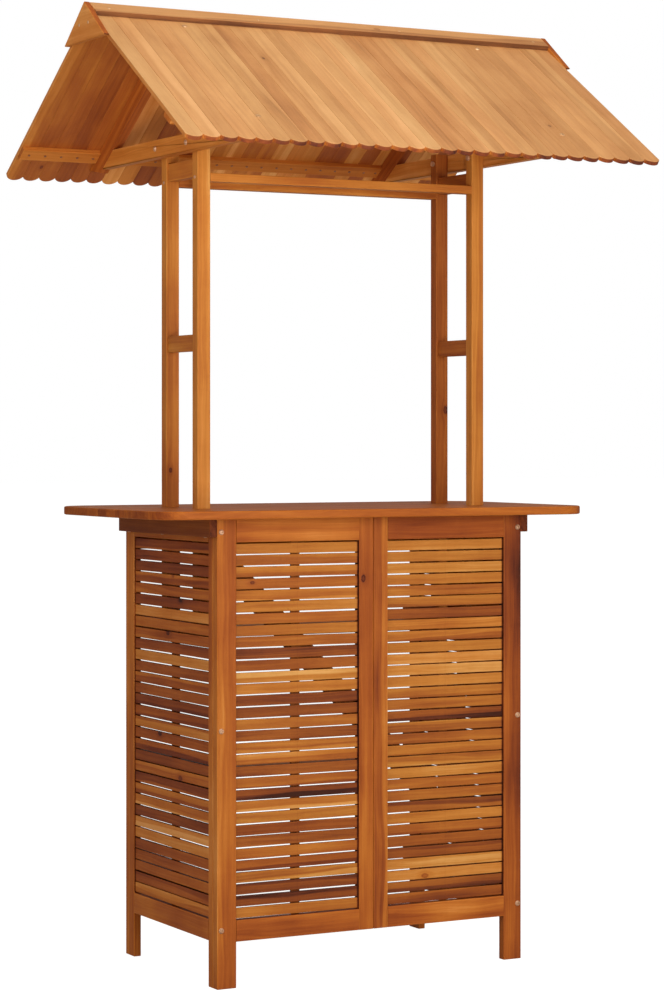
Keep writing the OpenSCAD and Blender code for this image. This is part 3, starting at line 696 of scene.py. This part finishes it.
for n in ("front_left_post", "front_right_post", "back_left_post", "back_right_post"):
    sticks(n, "post", "post_wood", r=0.0022)
for n in ("left_ladder_rails", "right_ladder_rails"):
    sticks(n, "rail", "post_wood", TONGUE, 1, end_r=0.0004)
for n in ("front_header_rail", "back_header_rail"):
    sticks(n, "post", "post_wood", end_r=0.0004)
sticks("front_roof_battens", "batten", "truss_wood", axes=AXES["front"])
sticks("back_roof_battens", "batten", "truss_wood", axes=AXES["back"])


# Roof boards: rounded lower ends, a small bevel all round.
def roof_boards(side, kind):
    rng = random.Random(f"boards{side}3")
    seeded = TONE_SEEDS.get(side + "_roof_boards")
    tone_rng = random.Random(seeded[0] if seeded else 0)
    ax = AXES[side]
    # the ridge line of the top plane, in slope coordinates
    apex = Vector((0, 0, HEIGHT))
    s0, h0 = apex.dot(ax[1]), apex.dot(ax[2])
    B = Build()
    w = B_PITCH - 0.0004
    for i in range(BOARD_N):
        x0 = -BX1 + i * B_PITCH + 0.0002
        end = EAVE_S - 0.0003 - rng.uniform(0.0, 0.0016)
        half = w / 2
        sag = SCALLOP_R - math.sqrt(SCALLOP_R ** 2 - half ** 2)
        a_max = math.asin(half / SCALLOP_R)
        arc = []
        steps = 12
        for k in range(steps + 1):
            th = a_max - 2 * a_max * k / steps
            arc.append((half + SCALLOP_R * math.sin(th), end - SCALLOP_R + SCALLOP_R * math.cos(th)))
        poly = [(0.0, 0.007), (w, 0.007)] + arc
        flags = [0.0] * len(poly)
        j = [rng.uniform(-0.00025, 0.00025) for _ in range(3)]
        cx, cs = w / 2, (0.007 + end) / 2
        hl = (end - 0.007) / 2
        sg = rng.choice((-1, 1))
        edge = rng.choice((0.0, 0.0, 0.35, 0.55, -0.2))

        def place(a, b, c, x0=x0, j=j, cs=cs, hl=hl):
            u = (b - cs) / hl
            return ax[0] * (x0 + a) + ax[1] * (s0 + b) + ax[2] * (h0 + c + j[0] * u + j[1] * (0.5 - u * u))
        B.prism(poly, flags, -RH, -CAP_T, 0.0009, place, lambda a, b, c: (b - cs, (a - cx) * sg, c + CAP_T + BOARD_T / 2),
                (hl, w / 2, BOARD_T / 2), rng, kind,
                tone=seeded[1] + (seeded[2] - seeded[1]) * tone_rng.random() if seeded else None, streak=edge)
    return B.make(side + "_roof_boards_wood", MATS["roof_board_wood"], [side + "_roof_boards"], "roof_board_wood")


roof_boards("front", "roof_top")
roof_boards("back", "roof_under")


def sp(s, h):
    return (s * CA - h * SA, HEIGHT - s * SA - h * CA)


def zat(y, h):
    return HEIGHT - FALL * abs(y) - h / CA


def yz_piece(B, poly, x0, x1, r, rng, kind, grain_dir, mirror=False, corner_r=0.0018, tone=None, streak=None):
    """A profile in the Y-Z plane run along X. grain_dir is the fibre direction in that plane, or 'x'."""
    if mirror:
        poly = [(-a, b) for a, b in reversed(poly)]
    area = sum(poly[i - 1][0] * poly[i][1] - poly[i][0] * poly[i - 1][1] for i in range(len(poly)))
    if area < 0:
        poly = list(reversed(poly))
    pts, flags = rounded(poly, corner_r) if corner_r else (poly, [0.0] * len(poly))
    cy = sum(a for a, b in poly) / len(poly)
    cz = sum(b for a, b in poly) / len(poly)
    xm = (x0 + x1) / 2
    if grain_dir == "x":
        sl = (CA, -SA) if not mirror else (-CA, -SA)
        def local(a, b, c):
            return (c - xm, (a - cy) * sl[0] + (b - cz) * sl[1], (a - cy) * -sl[1] + (b - cz) * sl[0])
    else:
        gy, gz = grain_dir
        if mirror:
            gy = -gy
        def local(a, b, c):
            return ((a - cy) * gy + (b - cz) * gz, -(a - cy) * gz + (b - cz) * gy, c - xm)
    ls = [local(a, b, c) for a, b in poly for c in (x0, x1)]
    half = tuple(max(abs(l[i]) for l in ls) for i in range(3))
    B.prism(pts, flags, x0, x1, r, lambda a, b, c: Vector((c, a, b)), local, half, rng, kind, tone=tone, streak=streak)


for side_name, sx in (("left", -1), ("right", 1)):
    rng = random.Random(side_name + "truss")
    xs = sorted((sx * IX, sx * (IX + TRUSS_T)))
    # tie beam
    B = Build()
    lo = (HEIGHT - (RH + RAFTER_H + 0.0002) / CA - TIE_Z) / FALL
    hi = (HEIGHT - (RH + RAFTER_H + 0.0002) / CA - TIE_Z - TIE_H) / FALL
    yz_piece(B, [(-lo, TIE_Z), (lo, TIE_Z), (hi, TIE_Z + TIE_H), (-hi, TIE_Z + TIE_H)], xs[0], xs[1], 0.0018, rng, "truss", (1, 0), corner_r=0.0008)
    B.make(side_name + "_tie_beam_wood", MATS["truss_wood"], [side_name + "_tie_beam"], "truss_wood")
    # rafters
    B = Build()
    for m in (False, True):
        yz_piece(B, [(0.0002, zat(0.0002, RH)), sp(EAVE_S - 0.048, RH), sp(EAVE_S - 0.099, RH + RAFTER_H), (0.0002, zat(0.0002, RH + RAFTER_H))],
                 xs[0], xs[1], 0.0018, rng, "truss", (CA, -SA), mirror=m, corner_r=0.0015, tone=0.30 if m else 0.60)
    B.make(side_name + "_rafters_wood", MATS["truss_wood"], [side_name + "_rafters"], "truss_wood")
    # gable plate
    B = Build()
    xs = sorted((sx * BX1, sx * ROOF_W / 2))
    yz_piece(B, [(0, HEIGHT), (-GABLE_HALF, HEIGHT - GABLE_DROP), (GABLE_HALF, HEIGHT - GABLE_DROP)],
             xs[0], xs[1], 0.0015, rng, "plate", (1, 0), corner_r=0.0012)
    B.make(side_name + "_gable_plate_wood", MATS["plate_wood"], [side_name + "_gable_plate"], "ridge_wood")

for side_name, m in (("back", False), ("front", True)):
    rng = random.Random(side_name + "ridge")
    B = Build()
    # the dark streak along the lower half of the ridge boards is painted shade
    yz_piece(B, [(0.0002, zat(0.0002, 0)), (0.0002, zat(0.0002, CAP_T)), sp(CAP_W, CAP_T), sp(CAP_W, 0)], -BX1, BX1, 0.0012, rng, "ridge", "x", mirror=m, corner_r=0.0012, tone=0.34, streak=-0.9)
    B.make(side_name + "_ridge_board_wood", MATS["ridge_wood"], [side_name + "_ridge_board"], "ridge_wood")

# Diagonal brace
rng = random.Random("brace")
B = Build()
slope_b, half_w = 1.046, 0.0245
v = half_w * math.sqrt(1 + slope_b * slope_b)
bx = IX - 0.0005
bz = lambda x: 0.557 - slope_b * x
poly = [(-bx, bz(-bx) - v), (bx, bz(bx) - v), (bx, bz(bx) + v), (-bx, bz(-bx) + v)]
gx, gz = 1 / math.sqrt(1 + slope_b ** 2), -slope_b / math.sqrt(1 + slope_b ** 2)
pts, flags = rounded(poly, 0.0015)
B.prism(pts, flags, FY, FY + 0.018, 0.0015, lambda a, b, c: Vector((a, c, b)),
        lambda a, b, c: (a * gx + (b - 0.557) * gz, -a * gz + (b - 0.557) * gx, c - FY - 0.009), (0.56, 0.05, 0.009), rng, "brace")
B.make("diagonal_brace_wood", MATS["inner_wood"], ["diagonal_brace"], "inner_wood")


# Countertop: one panel with rounded corners and edges, glued from staves.
def countertop():
    import bmesh
    rng = random.Random("counter5")
    outline = []
    for cx, cy, a0 in ((1, 1, 0), (-1, 1, 90), (-1, -1, 180), (1, -1, 270)):
        for k in range(17):
            th = math.radians(a0 + 90 * k / 16)
            outline.append((cx * (TOP_W / 2 - TOP_R) + TOP_R * math.cos(th), TOP_Y + cy * (TOP_D / 2 - TOP_R) + TOP_R * math.sin(th)))
    r = 0.0035
    layers = [(LEG_H, r), (LEG_H + 0.13 * r, 0.5 * r), (LEG_H + 0.5 * r, 0.13 * r), (LEG_H + r, 0.0),
              (LEG_H + TOP_T - r, 0.0), (LEG_H + TOP_T - 0.5 * r, 0.13 * r), (LEG_H + TOP_T - 0.13 * r, 0.5 * r), (LEG_H + TOP_T, r)]
    bm = bmesh.new()
    rings = []
    for z, d in layers:
        rings.append([bm.verts.new((a, b, z)) for a, b in (inset(outline, d) if d else outline)])
    n = len(outline)
    for p, q in zip(rings, rings[1:]):
        for i in range(n):
            bm.faces.new((p[i], p[(i + 1) % n], q[(i + 1) % n], q[i]))
    bm.faces.new(list(reversed(rings[0])))
    bm.faces.new(rings[-1])
    me = bpy.data.meshes.new("countertop_wood")
    bm.to_mesh(me)
    bm.free()
    ob = bpy.data.objects.new("countertop_wood", me)
    bpy.context.scene.collection.objects.link(ob)
    # openings for the posts
    cutters = []
    for x in (-1, 1):
        for y in (-1, 1):
            bmc = bmesh.new()
            bmesh.ops.create_cube(bmc, size=1.0)
            for vert in bmc.verts:
                vert.co = Vector((x * (IX - 0.016) + vert.co.x * 0.033, y * 0.082 + vert.co.y * 0.029, LEG_H + TOP_T / 2 + vert.co.z * 0.03))
            mc = bpy.data.meshes.new("cut")
            bmc.to_mesh(mc)
            bmc.free()
            oc = bpy.data.objects.new("cut", mc)
            bpy.context.scene.collection.objects.link(oc)
            cutters.append(oc)
            md = ob.modifiers.new("cut", "BOOLEAN")
            md.operation = "DIFFERENCE"
            md.solver = "EXACT"
            md.object = oc
    bpy.context.view_layer.update()
    dg = bpy.context.evaluated_depsgraph_get()
    new = bpy.data.meshes.new_from_object(ob.evaluated_get(dg))
    ob.modifiers.clear()
    ob.data = new
    for oc in cutters:
        bpy.data.objects.remove(oc)
    # stave seams
    bm = bmesh.new()
    bm.from_mesh(new)
    seams, y = [], TOP_Y - TOP_D / 2
    while y < TOP_Y + TOP_D / 2 - 0.05:
        y += rng.uniform(0.042, 0.062)
        seams.append(y)
    for s in seams:
        bmesh.ops.bisect_plane(bm, geom=bm.verts[:] + bm.edges[:] + bm.faces[:], plane_co=(0, s, 0), plane_no=(0, 1, 0))
    bm.to_mesh(new)
    bm.free()
    staves = [(rvec(rng),) + look(rng, "counter", 0.5, 0.02) for _ in range(len(seams) + 1)]
    wl = [(v.co.x, v.co.y - TOP_Y, v.co.z - LEG_H - TOP_T / 2) for v in new.vertices]
    wn = [(min(1, max(-1, a / 2)), 0.0, c / (TOP_T / 2)) for a, b, c in wl]
    we = [1.0 if 0.0002 < (TOP_T / 2 - abs(c)) < 0.003 else 0.0 for a, b, c in wl]
    edges = [TOP_Y - TOP_D / 2] + seams + [TOP_Y + TOP_D / 2]
    wr, wt, wk, wx = [], [], [], []
    for p in new.polygons:
        k = sum(1 for s in seams if p.center.y > s)
        rnd, tone, knot = staves[k]
        wr.append(rnd)
        wt.append((tone[0], tone[1], 0.0))
        wk.append((knot[0], (edges[k] + edges[k + 1]) / 2 - TOP_Y + knot[1] * 0.6, knot[2]))
        wx.append(abs(p.normal.x))
    for key, dom, data in (("wl", "POINT", wl), ("wn", "POINT", wn), ("wr", "FACE", wr), ("wt", "FACE", wt), ("wk", "FACE", wk)):
        at = new.attributes.new(key, "FLOAT_VECTOR", dom)
        at.data.foreach_set("vector", [x for t in data for x in t])
    at = new.attributes.new("we", "FLOAT", "POINT")
    at.data.foreach_set("value", we)
    at = new.attributes.new("wx", "FLOAT", "FACE")
    at.data.foreach_set("value", wx)
    new.materials.clear()
    new.materials.append(MATS["counter_wood"])
    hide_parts("countertop")
    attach(ob, "root")


countertop()

for n, o in NODES.items():
    if not o.hide_render:
        o.data.materials.clear()
        o.data.materials.append({"roof_bolts": ROOF_STEEL, "ridge_and_gable_screws": ROOF_STEEL,
                                 "batten_screws": SCREW_STEEL}.get(n, STEEL))

# ---------------------------------------------------------------- floor, light
floor_me = bpy.data.meshes.new("floor")
floor_me.from_pydata([(-60, -60, 0), (60, -60, 0), (60, 60, 0), (-60, 60, 0)], [], [(0, 1, 2, 3)])
floor = bpy.data.objects.new("floor", floor_me)
bpy.context.scene.collection.objects.link(floor)
fm = bpy.data.materials.new("floor")
N = Nodes(fm)


def floor_look(albedo, glow):
    fb = N.new("ShaderNodeBsdfPrincipled")
    fb.inputs["Base Color"].default_value = (albedo, albedo, albedo, 1)
    fb.inputs["Roughness"].default_value = 0.9
    fb.inputs["Specular IOR Level"].default_value = 0.0
    fb.inputs["Emission Color"].default_value = (1, 1, 1, 1)
    fb.inputs["Emission Strength"].default_value = glow
    return fb.outputs[0]


# the floor is seen bright, but throws back less light than it shows
fo = N.new("ShaderNodeOutputMaterial")
fmix = N.new("ShaderNodeMixShader")
N.link(N.new("ShaderNodeLightPath").outputs["Is Camera Ray"], fmix.inputs[0])
N.link(floor_look(0.32, 0.10), fmix.inputs[1])
N.link(floor_look(0.34, 0.93), fmix.inputs[2])
N.link(fmix.outputs[0], fo.inputs[0])
floor_me.materials.append(fm)

world = bpy.data.worlds.new("world")
bpy.context.scene.world = world
N = Nodes(world)
# a soft studio sky, brighter overhead
sky_z = N.xyz(N.new("ShaderNodeTexCoord").outputs["Generated"])[2]
bg1 = N.new("ShaderNodeBackground")
bg1.inputs[0].default_value = (1, 1, 1, 1)
N.link(N.range(sky_z, 0.0, 0.9, 0.36, 0.30), bg1.inputs[1])
bg2 = N.new("ShaderNodeBackground")
bg2.inputs[0].default_value = (1, 1, 1, 1)
bg2.inputs[1].default_value = 1.0
mx = N.new("ShaderNodeMixShader")
N.link(N.new("ShaderNodeLightPath").outputs["Is Camera Ray"], mx.inputs[0])
N.link(bg1.outputs[0], mx.inputs[1])
N.link(bg2.outputs[0], mx.inputs[2])
N.link(mx.outputs[0], N.new("ShaderNodeOutputWorld").inputs[0])


def softbox(name, place, aim, size, power, shine=True):
    """A large square lamp. Power is in watts."""
    d = bpy.data.lights.new(name, "AREA")
    d.shape = "SQUARE"
    d.size = size
    d.energy = power
    d.color = (1.0, 0.99, 0.975)
    ob = bpy.data.objects.new(name, d)
    bpy.context.scene.collection.objects.link(ob)
    ob.location = place
    ob.rotation_euler = (Vector(place) - Vector(aim)).to_track_quat("Z", "Y").to_euler()
    ob.visible_camera = False
    ob.visible_glossy = shine
    return ob


softbox("key", (0.5, -4.2, 1.6), (0.0, 0.0, 1.2), 2.4, 98.0)
softbox("fill", (-3.6, -1.4, 2.1), (0.0, 0.0, 1.4), 2.0, 38.0)
softbox("top", (0.0, -1.3, 4.8), (0.0, -0.2, 1.9), 2.4, 48.0)
softbox("back", (1.2, 4.6, 2.6), (0.0, 0.0, 1.2), 2.4, 50.0, shine=False)
# a low spot for the underside of the roof
kick_d = bpy.data.lights.new("kick", "SPOT")
kick_d.energy = 420.0
kick_d.spot_size = math.radians(26)
kick_d.spot_blend = 1.0
kick_d.shadow_soft_size = 0.5
kick = bpy.data.objects.new("kick", kick_d)
bpy.context.scene.collection.objects.link(kick)
kick.location = (-1.9, -4.2, 0.4)
kick.rotation_euler = (kick.location - Vector((-0.1, 0.2, 2.05))).to_track_quat("Z", "Y").to_euler()
kick.visible_camera = False

bpy.context.scene.view_settings.view_transform = "Standard"
bpy.context.scene.view_settings.look = "None"
bpy.context.scene.view_settings.exposure = 0.0
bpy.context.scene.view_settings.gamma = 1.0
